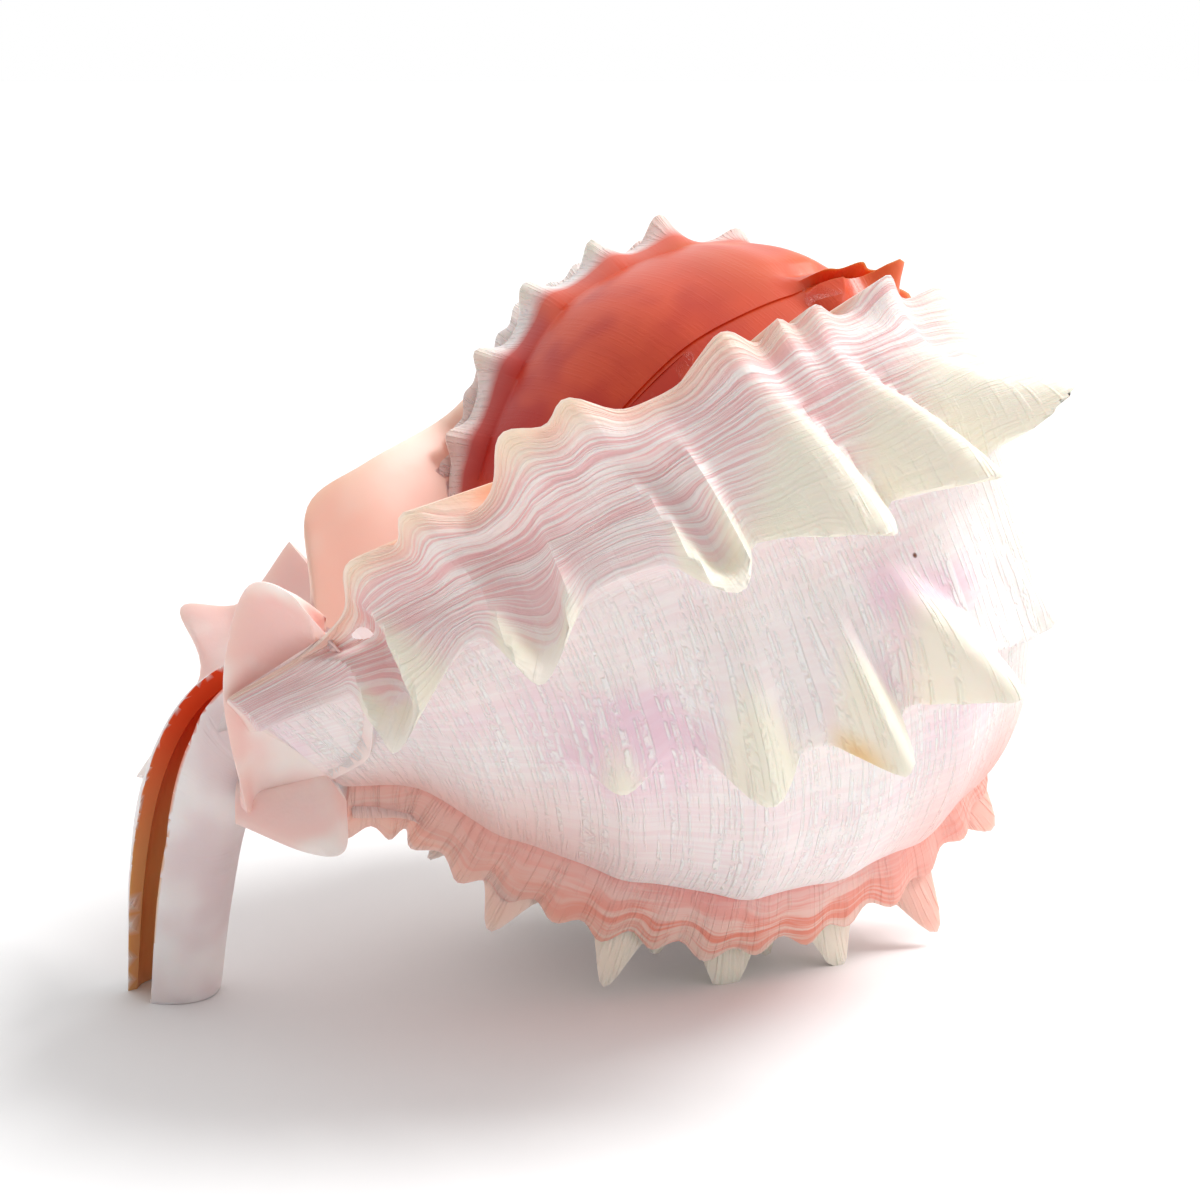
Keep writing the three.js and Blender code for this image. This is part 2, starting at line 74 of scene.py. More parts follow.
def growth_tree():
    """Rolls a flat sheet (x = degrees behind the lip, y = mm along the outline) up into the
    coil: each point is found on the outline, raised, leaned back, shrunk and turned."""
    tree = bpy.data.node_groups.new("roll_up_growth", "GeometryNodeTree")
    face = tree.interface
    face.new_socket("Sheet", in_out="INPUT", socket_type="NodeSocketGeometry")
    face.new_socket("Outline", in_out="INPUT", socket_type="NodeSocketObject")
    face.new_socket("Growth per radian", in_out="INPUT", socket_type="NodeSocketFloat")
    face.new_socket("Shell surface", in_out="INPUT", socket_type="NodeSocketMaterial")
    face.new_socket("Coil", in_out="OUTPUT", socket_type="NodeSocketGeometry")
    n, link = tree.nodes, tree.links
    start = n.new("NodeGroupInput")
    end = n.new("NodeGroupOutput")

    def math_node(kind, a, b=None, c=None):
        m = n.new("ShaderNodeMath")
        m.operation = kind
        for i, v in enumerate((a, b, c)):
            if v is None:
                continue
            if isinstance(v, (int, float)):
                m.inputs[i].default_value = v
            else:
                link.new(v, m.inputs[i])
        return m.outputs[0]

    def attribute(name):
        a = n.new("GeometryNodeInputNamedAttribute")
        a.data_type = "FLOAT"
        a.inputs["Name"].default_value = name
        return a.outputs["Attribute"]

    place = n.new("GeometryNodeInputPosition")
    parts = n.new("ShaderNodeSeparateXYZ")
    link.new(place.outputs[0], parts.inputs[0])
    info = n.new("GeometryNodeObjectInfo")
    link.new(start.outputs["Outline"], info.inputs["Object"])
    sample = n.new("GeometryNodeSampleCurve")
    sample.mode = "LENGTH"
    sample.use_all_curves = False
    link.new(info.outputs["Geometry"], sample.inputs[0])
    link.new(math_node("SUBTRACT", parts.outputs["Y"], SUTURE), sample.inputs["Length"])
    on_line = n.new("ShaderNodeSeparateXYZ")
    link.new(sample.outputs["Position"], on_line.inputs[0])
    way = n.new("ShaderNodeSeparateXYZ")
    link.new(sample.outputs["Tangent"], way.inputs[0])
    # outward normal of the outline is the tangent turned a quarter turn
    raised = attribute("raise")
    lean = attribute("lean")
    radius = math_node("MULTIPLY_ADD", raised, math_node("MULTIPLY", way.outputs["Z"], -1.0),
                       on_line.outputs["X"])
    height = math_node("MULTIPLY_ADD", raised, way.outputs["X"], on_line.outputs["Z"])
    angle = math_node("RADIANS", parts.outputs["X"])
    shrink = math_node("EXPONENT", math_node("MULTIPLY", math_node(
        "MULTIPLY", angle, start.outputs["Growth per radian"]), -1.0))
    cosine = math_node("COSINE", angle)
    sine = math_node("SINE", angle)
    x = math_node("SUBTRACT", math_node("MULTIPLY", radius, cosine),
                  math_node("MULTIPLY", lean, sine))
    y = math_node("ADD", math_node("MULTIPLY", radius, sine), math_node("MULTIPLY", lean, cosine))
    joined = n.new("ShaderNodeCombineXYZ")
    link.new(math_node("MULTIPLY", x, shrink), joined.inputs["X"])
    link.new(math_node("MULTIPLY", y, shrink), joined.inputs["Y"])
    link.new(math_node("MULTIPLY", height, shrink), joined.inputs["Z"])
    move = n.new("GeometryNodeSetPosition")
    link.new(start.outputs["Sheet"], move.inputs["Geometry"])
    link.new(joined.outputs[0], move.inputs["Position"])
    real = n.new("GeometryNodeRealizeInstances")
    link.new(move.outputs[0], real.inputs[0])
    paint = n.new("GeometryNodeSetMaterial")
    link.new(real.outputs[0], paint.inputs["Geometry"])
    link.new(start.outputs["Shell surface"], paint.inputs["Material"])
    link.new(paint.outputs[0], end.inputs[0])
    return tree


# The outline as a curve that the growth tree can read.
outline_curve = bpy.data.curves.new("outline_line", "CURVE")
outline_curve.dimensions = "3D"
spline = outline_curve.splines.new("POLY")
spline.points.add(len(outline) - 1)
for point, (r, z) in zip(spline.points, outline):
    point.co = (r, 0, z, 1)
outline_object = bpy.data.objects.new("outline_line", outline_curve)
bpy.context.scene.collection.objects.link(outline_object)
growth = growth_tree()
shell_surface = bpy.data.materials.new("shell_surface")


def roll_up(name, stages, samples, raised, lean):
    """One stretch of coil: a grid of points, stages by samples."""
    rows, columns = len(stages), len(samples)
    flat = np.zeros((rows, columns, 3), np.float32)
    flat[..., 0] = np.asarray(stages)[:, None]
    flat[..., 1] = np.asarray(samples)[None, :]
    first = (np.arange(rows - 1)[:, None] * columns + np.arange(columns - 1)[None, :]).ravel()
    faces = np.stack([first, first + 1, first + columns + 1, first + columns], -1)
    mesh = bpy.data.meshes.new(name)
    mesh.vertices.add(rows * columns)
    mesh.vertices.foreach_set("co", flat.ravel())
    mesh.loops.add(faces.size)
    mesh.loops.foreach_set("vertex_index", faces.ravel().astype(np.int32))
    mesh.polygons.add(len(faces))
    mesh.polygons.foreach_set("loop_start", np.arange(0, faces.size, 4, dtype=np.int32))
    mesh.update(calc_edges=True)
    for key, values in (("raise", raised), ("lean", lean)):
        layer = mesh.attributes.new(key, "FLOAT", "POINT")
        layer.data.foreach_set("value", np.ascontiguousarray(values, np.float32).ravel())
    sheet = bpy.data.objects.new(name, mesh)
    bpy.context.scene.collection.objects.link(sheet)
    modifier = sheet.modifiers.new("growth", "NODES")
    modifier.node_group = growth
    names = {s.name: s.identifier for s in growth.interface.items_tree if s.in_out == "INPUT"}
    modifier[names["Outline"]] = outline_object
    modifier[names["Growth per radian"]] = GROWTH
    modifier[names["Shell surface"]] = shell_surface
    bpy.context.view_layer.update()
    made = bpy.data.meshes.new_from_object(
        sheet.evaluated_get(bpy.context.evaluated_depsgraph_get()))
    points = np.empty(len(made.vertices) * 3, np.float32)
    made.vertices.foreach_get("co", points)
    bpy.data.meshes.remove(made)
    bpy.data.objects.remove(sheet)
    bpy.data.meshes.remove(mesh)
    return points.reshape(rows, columns, 3).astype(float)


# ---------------------------------------------------------------- relief of the outside
# Six strong cords run round the turn.  Where growth paused the lip flared into a row of
# spines or knobs (an old lip), and the newest row stands just behind the present lip.
CORDS = (88, 72, 56.5, 44, 32, 20)
CORD_HEIGHT, CORD_WIDTH = 0.7, 3.2
# Teeth of the lip edge: place along the outline, height, half width.
LIP_TEETH = (
    (17, 1.5, 4), (26.5, 3.5, 2.5), (35.5, 2.5, 2), (39.5, 2.5, 1.5), (46, 3.5, 3),
    (60.5, 5, 2.5), (66.5, 6, 3.5), (78.5, 5, 2.5), (85.5, 4.5, 4),
)
# Each spine or lobe: place, height, backward reach, width toward the canal and the suture.
NEW_SPINES = (
    (88, 11.5, 8.5, 7, 5), (73, 11.5, 7.8, 5.5, 4.2), (55.5, 10.5, 6, 3.6, 2.6),
    (42, 10, 4.6, 13, 3), (31, 10.5, 3.5, 10, 3), (21, 12.2, 1.0, 9, 8),
)
# Growth stage of that row's rim, by place.
NEW_RIM = (
    (0, 16), (15, 17), (20, 17.5), (25, 20), (31, 20.5), (36, 20), (42, 20.5), (46, 19.5),
    (50, 18.5), (56, 18.5), (60, 18), (64, 17.5), (105, 17.5),
)
# Open channels in its first three spines: place at top and tip, width, start, depth.
CHANNELS = ((94.5, 88.5, 5.2, 1, 9.0), (73.6, 72.8, 5.2, 4, 9.5), (57.0, 55.4, 3.0, 6, 8.0))
# Knobs of the row behind, given as the spines are.
KNOBS = (
    (71, 5, 2.5, 6, 4.5), (57.5, 8.5, 4, 6, 5), (46, 10.5, 4, 5, 3.5), (34, 11, 4, 9, 3.5),
    (20, 3.5, 1, 7, 6),
)
# Old lips: degrees behind the present lip, strength, spine length; then their spines.
OLD_LIPS = (
    (98, 1.0, 1.0), (138, 1.0, 1.08), (186, 0.9, 0.9), (232, 0.8, 0.9), (276, 0.62, 0.9),
    (330, 0.9, 1.0), (376, 0.9, 1.0), (424, 0.9, 1.0), (472, 0.9, 1.0), (520, 0.9, 1.0),
    (568, 0.9, 1.0), (616, 0.9, 1.0), (664, 0.9, 1.0),
)
OLD_LIP_SPINES = ((83, 10), (68.5, 11.5), (55, 10.5), (41.5, 11.5), (29.5, 13), (17, 10))
SMALL_SPINES = ((62, 8), (48.5, 9), (35, 6), (23, 6), (76, 6))
SMALL_SPINES_END = 270


def bell(x):
    return np.exp(-np.square(x))


def ease(x):
    x = np.clip(x, 0, 1)
    return x * x * (3 - 2 * x)


def between(x, pairs):
    """A soft-cornered line through (place, value) pairs."""
    at, value = np.asarray(pairs, float).T
    i = np.clip(np.searchsorted(at, x) - 1, 0, len(at) - 2)
    u = ease((x - at[i]) / (at[i + 1] - at[i]))
    return value[i] + (value[i + 1] - value[i]) * u


def stage(deg, at, older, newer, pow_old=2.0, pow_new=1.6):
    """One at a growth stage, falling away over older and newer growth by given degrees."""
    old = (1 - np.clip((deg - at) / older, 0, 1)) ** pow_old
    new = (1 - np.clip((at - deg) / newer, 0, 1)) ** pow_new
    return np.where(deg >= at, old, new)


def tooth(s, at, canal_side, suture_side):
    """One at a place on the outline, falling away over unlike widths, with a rounded top."""
    off = s - at
    soft = np.sqrt(off * off + 2.4) - 1.5
    power = np.where((off > 0) & (at < 50), 1.0, 1.4)
    return np.clip(1 - soft / np.where(off > 0, canal_side, suture_side), 0, 1) ** power


def scallop(deg, s):
    """Height and backward reach of the lip's scallops."""
    e = stage(np.maximum(deg, 0), 0, 11, 1, 1.6)
    high = sum(h * bell((s - c) / half) for c, h, half in LIP_TEETH) * e
    return high, -0.5 * high


def relief(stages, samples):
    """Height over the smooth outline and backward reach, for each stage and sample, in mm."""
    deg = np.asarray(stages, float)[:, None]
    s = np.asarray(samples, float)[None, :]
    high, back = scallop(deg, s)
    for c in CORDS:
        high = high + CORD_HEIGHT * bell((s - c) / CORD_WIDTH)
    # the newest row: a folded rim drawn out into channelled spines
    rim = between(s, NEW_RIM)
    before = np.clip((rim - deg) / rim, 0, 1)
    drawn = s - np.clip((50 - s) / 30, 0, 1) * 0.8 * np.clip(rim - deg, 0, 17)
    rise = np.where(deg < rim, (1 - before) ** (1.35 + 0.5 * ease((s - 48) / 8)),
                    stage(deg, rim, 3.2, 1, 1.7, 1))
    crest = 0 * deg + 0 * s + 2.0
    lean = 0 * crest + 1.0
    for at, h, b, canal_side, suture_side in NEW_SPINES:
        t = tooth(drawn, at, canal_side, suture_side)
        crest = np.maximum(crest, 2.0 + (h - 2.0) * t)
        lean = np.maximum(lean, 1.0 + (b - 1.0) * t)
    high += crest * rise
    back += lean * stage(deg, rim, 3.2, 9, 1.3, 2.0)
    for top, tip, wide, begin, depth in CHANNELS:
        u = np.clip((deg - begin) / (rim - begin), 0, 1)
        centre = top + (tip - top) * u
        across = np.clip(1 - ((s - centre) / (wide * (1 - 0.45 * u))) ** 2, 0, 1)
        high -= depth * 0.75 * across * np.sqrt(u) * ease((rim + 0.4 - deg) / 2.2) * (deg > begin)
    # the row behind it: broad leaning knobs
    knob_rim = 47 - 4 * bell((s - 34) / 8)
    after = np.clip(knob_rim - deg, 0, 17)
    drawn = s - np.clip((50 - s) / 12, 0, 1) * 0.5 * after
    web = ease((s - 12) / 12) * ease((68 - s) / 14)
    crest = 3.2 * web
    lean = 1.5 * web
    for at, h, b, canal_side, suture_side in KNOBS:
        t = tooth(drawn, at, canal_side, suture_side)
        crest = np.maximum(crest, h * t)
        lean = np.maximum(lean, b * t)
    high += crest * stage(deg, knob_rim, 3.2, 24, 1.7, 1.7)
    back += lean * stage(deg, knob_rim, 3.2, 14, 1.4, 1.8)
    # old lips: a groove, a frilled face, a swelling, and spines upon it
    for at, k, long in OLD_LIPS:
        wave = 0.5 + 0.5 * np.cos(s * 2 * np.pi / 6.2 + at)
        high -= 2.2 * k * bell((deg - at + 3.5) / 3)
        high += k * (4.5 + 1.6 * wave) * stage(deg, at + 2.5, 3, 3.2, 1.3, 1.1)
        back += k * (3.0 + wave) * stage(deg, at + 2.5, 3, 3.2, 1.3, 1.1)
        high += 4.0 * k * stage(deg, at + 8, 22, 3, 2, 1.2)
        for c, h in OLD_LIP_SPINES:
            g = bell((s - c) / 2.6)
            high += k * (h * long - 3.5) * g * stage(deg, at + 8, 12, 3.5, 2.4, 1.2)
            back += k * 2.0 * g * stage(deg, at + 8, 12, 3.5, 2, 1.2)
        if at >= SMALL_SPINES_END:
            continue
        for c, h in SMALL_SPINES:
            g = bell((s - c) / 1.9)
            high += k * (h - 1.5) * g * stage(deg, at + 15, 6, 5, 2, 1.2)
    buried = np.where(deg > 290, ease((s - 24) / 10), 0)
    return high * (1 - buried), back * (1 - buried)


# ---------------------------------------------------------------- the last turn
# The last turn holds the mouth.  It is solid here right in to the axis, and is hollowed later.
# Its steps are finest where the lip and the rows of spines stand.
CORE = 1.2


def close_loops(name, loops):
    """A closed solid from equal loops of points: walls between loops and a cap on each end."""
    rows, n = loops.shape[:2]
    points = loops.reshape(-1, 3)
    i = np.arange(n)
    j = (i + 1) % n
    base = (np.arange(rows - 1) * n)[:, None]
    walls = np.stack([base + i, base + j, base + n + j, base + n + i], -1).reshape(-1, 4)
    centre_a = points[:n].mean(0)
    centre_b = points[-n:].mean(0)
    points = np.vstack([points, centre_a, centre_b])
    last = (rows - 1) * n
    cap_a = np.stack([j, i, np.full(n, rows * n)], -1)
    cap_b = np.stack([last + i, last + j, np.full(n, rows * n + 1)], -1)
    tris = np.vstack([walls[:, :3], walls[:, [0, 2, 3]], cap_a, cap_b])
    a, b, c = points[tris[:, 0]], points[tris[:, 1]], points[tris[:, 2]]
    if np.einsum("ij,ij->i", a, np.cross(b, c)).sum() < 0:
        walls = walls[:, ::-1]
        cap_a = cap_a[:, ::-1]
        cap_b = cap_b[:, ::-1]
    mesh = bpy.data.meshes.new(name)
    mesh.from_pydata(points.tolist(), [], walls.tolist() + cap_a.tolist() + cap_b.tolist())
    solid = bpy.data.objects.new(name, mesh)
    bpy.context.scene.collection.objects.link(solid)
    return solid


sources = []


def remember(kind, grid, stages, samples, raised):
    """Keeps a stretch of surface and its growth coordinates, to colour the joined shell by."""
    rows, columns = grid.shape[:2]
    first = (np.arange(rows - 1)[:, None] * columns + np.arange(columns - 1)[None, :]).ravel()
    quads = np.stack([first, first + 1, first + columns + 1, first + columns], -1)
    tris = np.vstack([quads[:, :3], quads[:, [0, 2, 3]]])
    points = grid.reshape(-1, 3)
    deg = np.broadcast_to(np.asarray(stages, float)[:, None], (rows, columns)).ravel()
    s = np.broadcast_to(np.asarray(samples, float)[None, :], (rows, columns)).ravel()
    sources.append((kind, points, tris, deg, s, np.asarray(raised, float).ravel()))


def turns(name, stages, samples, join, bottom):
    """A run of turns from its outside in to the axis; up to `join` it lies a little under."""
    raised, lean = relief(stages, samples)
    inset = 0.5 * (1 - ease((np.asarray(stages) - join) / 14))[:, None]
    grid = roll_up(name, stages, samples, raised - inset, lean)
    remember("outside", grid, stages, samples, raised)
    deg = np.radians(np.asarray(stages, float))
    q = np.exp(-GROWTH * deg)
    top = np.interp(samples[0], outline_at, outline[:, 1])
    foot = np.stack([CORE * np.cos(deg), CORE * np.sin(deg), q * bottom], -1)
    head = np.stack([CORE * np.cos(deg), CORE * np.sin(deg), q * top], -1)
    return close_loops(name, np.concatenate([grid, foot[:, None], head[:, None]], axis=1))


def spaced(spans):
    """Growth stages from spans of (from, to, step)."""
    parts = [np.arange(a, b, step) for a, b, step in spans]
    return np.concatenate(parts + [[spans[-1][1]]])


coarse = 1.0
last_stages = spaced([
    (0, 9, 0.45 * coarse), (9, 24.5, 0.33 * coarse), (24.5, 39, 0.9 * coarse),
    (39, 51, 0.45 * coarse), (51, 92, 1.5 * coarse), (92, 112, 0.35 * coarse),
    (112, 131, 1.6 * coarse), (131, 150, 0.6 * coarse), (150, 179, 1.8 * coarse),
    (179, 199, 0.6 * coarse),
    (199, 225, 1.8 * coarse), (225, 245, 0.6 * coarse), (245, 270, 1.8 * coarse),
    (270, 290, 0.6 * coarse), (290, 335, 2.5 * coarse)])
last_samples = np.linspace(SUTURE, FRONT, int(158 / coarse))
last_turn = turns("last_turn", last_stages, last_samples, -99, -92)

# ---------------------------------------------------------------- earlier turns and the tip
# The same outline, one and more turns back, makes the spire; the tip is a small smooth dome.
parts = [last_turn]
parts.append(turns("turn_2", np.arange(300, 621, 2.0 * coarse),
                   np.linspace(SUTURE, FRONT, int(90 / coarse)), 330, -90))
parts.append(turns("turn_3", np.arange(590, 901, 2.5 * coarse),
                   np.linspace(SUTURE, 60, int(60 / coarse)), 615, -60))
for k, begin in enumerate((870, 1160, 1450, 1740)):
    parts.append(turns("turn_%d" % (k + 4), np.arange(begin, begin + 311, 6.0 * coarse),
                       np.linspace(SUTURE, 46, int(36 / coarse)), begin + 25, -40))


def dome(name, radius, centre, flatten):
    """A small flattened ball for the tip of the spire."""
    mesh = bpy.data.meshes.new(name)
    ball = bmesh.new()
    bmesh.ops.create_uvsphere(ball, u_segments=24, v_segments=16, radius=radius)
    bmesh.ops.transform(ball, verts=ball.verts, matrix=Matrix.Translation(centre)
                        @ Matrix.Diagonal((1, 1, flatten, 1)))
    ball.to_mesh(mesh)
    ball.free()
    made = bpy.data.objects.new(name, mesh)
    bpy.context.scene.collection.objects.link(made)
    return made


parts.append(dome("tip", 3.2, Vector((0, 0, -1.6)), 0.8))


def pipe(name, line, radius, sides, facing=None):
    """A closed round bar along points."""
    line = np.asarray(line, float)
    way = np.gradient(line, axis=0)
    way /= np.linalg.norm(way, axis=1)[:, None]
    face = np.asarray(facing if facing is not None else [1.0, 0, 0.01], float)
    face = np.broadcast_to(face, line.shape)
    face = face - (face * way).sum(1)[:, None] * way
    face /= np.linalg.norm(face, axis=1)[:, None]
    side = np.cross(way, face)
    a = np.linspace(0, 2 * np.pi, sides, endpoint=False)
    radius = np.broadcast_to(np.asarray(radius, float), len(line))
    loops = (line[:, None] + radius[:, None, None] * (np.cos(a)[None, :, None] * face[:, None]
             + 1.05 * np.sin(a)[None, :, None] * side[:, None]))
    return close_loops(name, loops), loops


parts.append(pipe("pillar", [(0, 0, -37.5), (0, 0, -20), (0, 0, -3.5)], (3.2, 2.7, 2.2), 16)[0])

# ---------------------------------------------------------------- siphonal canal
# A half-closed tube that leaves the front along the axis and bends down through a right
# angle; its slot runs along the side that carried the mouth.
CANAL = (
    (0, 0, -34), (0, 0, -50), (0, 0, -64), (0, 0, -76), (-0.5, -1.2, -85.0),
    (-3.6, -1.2, -89.6), (-9.7, 2.0, -93.9), (-17.9, 7.4, -97.2), (-27.8, 15.8, -101.0),
)
CANAL_RADIUS = (9.0, 8.2, 7.4, 6.6, 6.2, 6.0, 5.9, 5.6, 5.0)
CHANNEL_RADIUS = 3.4
SLOT_HALF = 2.4
canal_line = smooth_line(CANAL, 10)
canal_along = np.linspace(0, 1, len(canal_line))
canal_radius = np.interp(canal_along, np.linspace(0, 1, len(CANAL)), CANAL_RADIUS)
canal_way = np.gradient(canal_line, axis=0)
canal_way /= np.linalg.norm(canal_way, axis=1)[:, None]
CANAL_FACE = ((0.0, 0.35, -0.93, 0), (0.45, 0.35, -0.93, 0), (0.62, 0.62, -0.45, -0.65),
              (0.78, 0.62, -0.13, -0.75), (1.0, 0.39, -0.16, -0.90))
canal_face = np.stack([np.interp(canal_along, [f[0] for f in CANAL_FACE],
                                 [f[i] for f in CANAL_FACE]) for i in (1, 2, 3)], -1)
canal_face -= (canal_face * canal_way).sum(1)[:, None] * canal_way
canal_face /= np.linalg.norm(canal_face, axis=1)[:, None]
canal_side = np.cross(canal_way, canal_face)
canal, canal_loops = pipe("canal", canal_line, canal_radius, 40, canal_face)
parts.append(canal)
remember("canal", np.concatenate([canal_loops, canal_loops[:, :1]], axis=1),
         canal_along * 100, np.linspace(0, 1, 41), np.zeros((len(canal_line), 41)))
keep = canal_along >= 0.42
arc = np.radians(np.linspace(40, 320, 25))
slot_flat = np.vstack([
    [(12, SLOT_HALF + 0.8), (5.0, SLOT_HALF)],
    np.stack([CHANNEL_RADIUS * np.cos(arc) + 0.8, CHANNEL_RADIUS * np.sin(arc)], -1),
    [(5.0, -SLOT_HALF), (12, -SLOT_HALF - 0.8)]])
channel_loops = (canal_line[keep][:, None] + slot_flat[None, :, :1] * canal_face[keep][:, None]
                 + slot_flat[None, :, 1:] * canal_side[keep][:, None])
beyond = channel_loops[-1:] + canal_way[-1] * 8
channel_loops = np.concatenate([channel_loops, beyond])
channel = close_loops("channel", channel_loops)
remember("channel", channel_loops, np.linspace(42, 106, len(channel_loops)),
         np.linspace(0, 1, len(slot_flat)), np.zeros(channel_loops.shape[:2]))


# ---------------------------------------------------------------- thin lobes at the front
# Leaf-like flares of the lip beside the canal, thick at the root and thin at the free edge.
def lobe(name, edge, root, thick, bulge=0.0, kind="outside"):
    """A leaf between a root line and a free edge, bulged to one side."""
    edge = smooth_line(edge, 8)
    root = smooth_line(root, 8)
    out = edge - root
    out /= np.linalg.norm(out, axis=1)[:, None]
    along = np.gradient(edge + root, axis=0)
    face = np.cross(along, out)
    face /= np.linalg.norm(face, axis=1)[:, None]
    u = np.linspace(0, 1, 13)
    half = thick * (0.6 - 0.35 * u ** 1.5) * np.sqrt(np.clip(1.02 - u ** 8, 0, 1))
    curl = bulge * np.sin(u * np.pi)
    mid = root[:, None] + (edge - root)[:, None] * u[None, :, None]
    upper = mid + face[:, None] * (curl + half)[None, :, None]
    lower = mid + face[:, None] * (curl - half)[None, :, None]
    loops = np.concatenate([upper, lower[:, ::-1]], axis=1)
    steps = np.linspace(0, 10, len(edge))
    # lobes are marked by places past the end of the outline
    for layer in (upper, lower):
        remember(kind, layer, 24 - 1.6 * steps, 130 + 10 * u, np.zeros(upper.shape[:2]))
    return close_loops(name, loops)


parts.append(lobe("front_lobe", (
    (17, 0, -82), (20, -5, -84), (17, -8, -87), (11, -1, -92), (2, 9, -93)), (
    (16, 5, -79), (13, 8, -79), (8, 10, -80), (3, 9, -84), (-2, 8, -88)), 2.6, 1.5))
parts.append(lobe("inner_flap", (
    (4, -10, -76), (5, -19, -72), (6, -21, -64), (3, -24, -52), (0, -28, -44)), (
    (2, -2, -79), (3, -2, -74), (3, -2, -69), (2, -4, -60), (1, -10, -48)), 2.4, 0.0, "flap"))
parts.append(lobe("old_lobe", (
    (-5, -20, -72), (-12, -18, -78), (-17, -22, -83), (-13, -12, -86), (-19, -6, -96)), (
    (-2, -3, -70), (-3, -2, -75), (-3, -2, -81), (-5, -2, -87), (-8, 0, -92)), 2.6, 1.0))
parts.append(lobe("canal_spine", (
    (0, 9, -94), (4, 16, -90), (6, 18, -87), (5, 13, -84)), (
    (-3, 5, -91), (-1, 7, -88), (0, 7, -85), (0, 6, -82)), 2.2, -1.2))

# ---------------------------------------------------------------- the hollow of the mouth
# It follows the outside at one wall's thickness, with the turn before it, under a glaze of
# callus, as its inner side.
WALL, WALL_DEEP, CAVITY_REACH = 2.4, 3.2, 290
PARIETAL = (
    (10.5, -83.0), (8.6, -74.0), (8.8, -64.0), (11.0, -56.0), (17.5, -48.6), (23.6, -41.0),
    (28.6, -33.0), (30.8, -25.0), (30.6, -18.5),
)
cavity_stages = np.concatenate([[-24, -18, -12, -6], np.arange(0, 24, 0.7 * coarse),
                                np.arange(24, CAVITY_REACH, 4 * coarse), [CAVITY_REACH]])
cavity_samples = np.linspace(4.5, 87.5, int(130 / coarse))
inner_line = smooth_line(PARIETAL, 6)
cavity_loops = []
for deg in cavity_stages:
    at = max(deg, 0)
    wall = WALL + (WALL_DEEP - WALL) * min(1, at / 90)
    high, _ = scallop(np.array([[float(at)]]), cavity_samples[None, :])
    push = high[0] * 0.9 - wall - 0.6 * ease(deg / 10)
    r = np.interp(cavity_samples, outline_at, outline[:, 0])
    z = np.interp(cavity_samples, outline_at, outline[:, 1])
    slope = np.gradient(outline, axis=0)
    slope /= np.linalg.norm(slope, axis=1)[:, None]
    nr = -np.interp(cavity_samples, outline_at, slope[:, 1])
    nz = np.interp(cavity_samples, outline_at, slope[:, 0])
    flat = np.vstack([np.stack([r + push * nr, z + push * nz], -1), inner_line])
    shrink = 1 - 0.5 * ease((deg - 240) / 60)
    middle = np.array([26, -42])
    flat = middle + (flat - middle) * shrink
    q = math.exp(-GROWTH * math.radians(at))
    a = math.radians(deg)
    cavity_loops.append(np.stack([q * flat[:, 0] * math.cos(a), q * flat[:, 0] * math.sin(a),
                                  q * flat[:, 1]], -1))
cavity_loops = np.array(cavity_loops)
cavity = close_loops("cavity", cavity_loops)
cavity_s = np.concatenate([cavity_samples, 100 + np.arange(len(inner_line))])
remember("inside", cavity_loops, cavity_stages, cavity_s, np.zeros(cavity_loops.shape[:2]))

# ---------------------------------------------------------------- join, hollow, set down
# All the growth is one piece of lime: it is joined, hollowed, and turned to how it lies.
# The tips that carry it are worn flat on the floor.


def cut(target, operation, other):
    """Joins to, or cuts from, a closed solid."""
    modifier = target.modifiers.new("cut", "BOOLEAN")
    modifier.operation = operation
    modifier.solver = "MANIFOLD"
    modifier.object = other
    bpy.context.view_layer.update()
    made = bpy.data.meshes.new_from_object(
        target.evaluated_get(bpy.context.evaluated_depsgraph_get()))
    target.modifiers.remove(modifier)
    target.data = made
    bpy.data.objects.remove(other)


shell = parts[0]
for other in parts[1:]:
    cut(shell, "UNION", other)
cut(shell, "DIFFERENCE", cavity)
cut(shell, "DIFFERENCE", channel)
shell.name = "shell_body"

AXIS_RISE, AXIS_YAW, LIP_ROLL, SETTLE = 16.0, 28.6, 28.7, 3.0
SET_DOWN = np.array([39.62, 21.5, 53.96])
rise, yaw, roll = (math.radians(a) for a in (AXIS_RISE, AXIS_YAW, LIP_ROLL))
axis = np.array([math.cos(rise) * math.cos(yaw), math.cos(rise) * math.sin(yaw), math.sin(rise)])
front = np.array([0, -1.0, 0])
front -= front @ axis * axis
front /= np.linalg.norm(front)
upward = np.cross(front, axis)
lip_way = math.cos(roll) * front + math.sin(roll) * upward
behind = math.sin(roll) * front - math.cos(roll) * upward
settle = np.array(Matrix.Rotation(math.radians(-SETTLE), 3, "X"))
turn = settle @ np.stack([lip_way, behind, axis], axis=1)


def set_down(points):
    """From the shell's own millimetres to the metres of the model where it rests."""
    return (points @ turn.T + SET_DOWN) / 1000


count = len(shell.data.vertices)
points = np.empty(count * 3, np.float32)
shell.data.vertices.foreach_get("co", points)
shell_mm = points.reshape(-1, 3).astype(float)
world = set_down(shell_mm)
world[:, 2] = np.maximum(world[:, 2], 0)
shell.data.vertices.foreach_set("co", world.astype(np.float32).ravel())
shell.data.update()
shell.data.polygons.foreach_set("use_smooth", [True] * len(shell.data.polygons))
shell.data.set_sharp_from_angle(angle=math.radians(48))
bpy.data.objects.remove(outline_object)

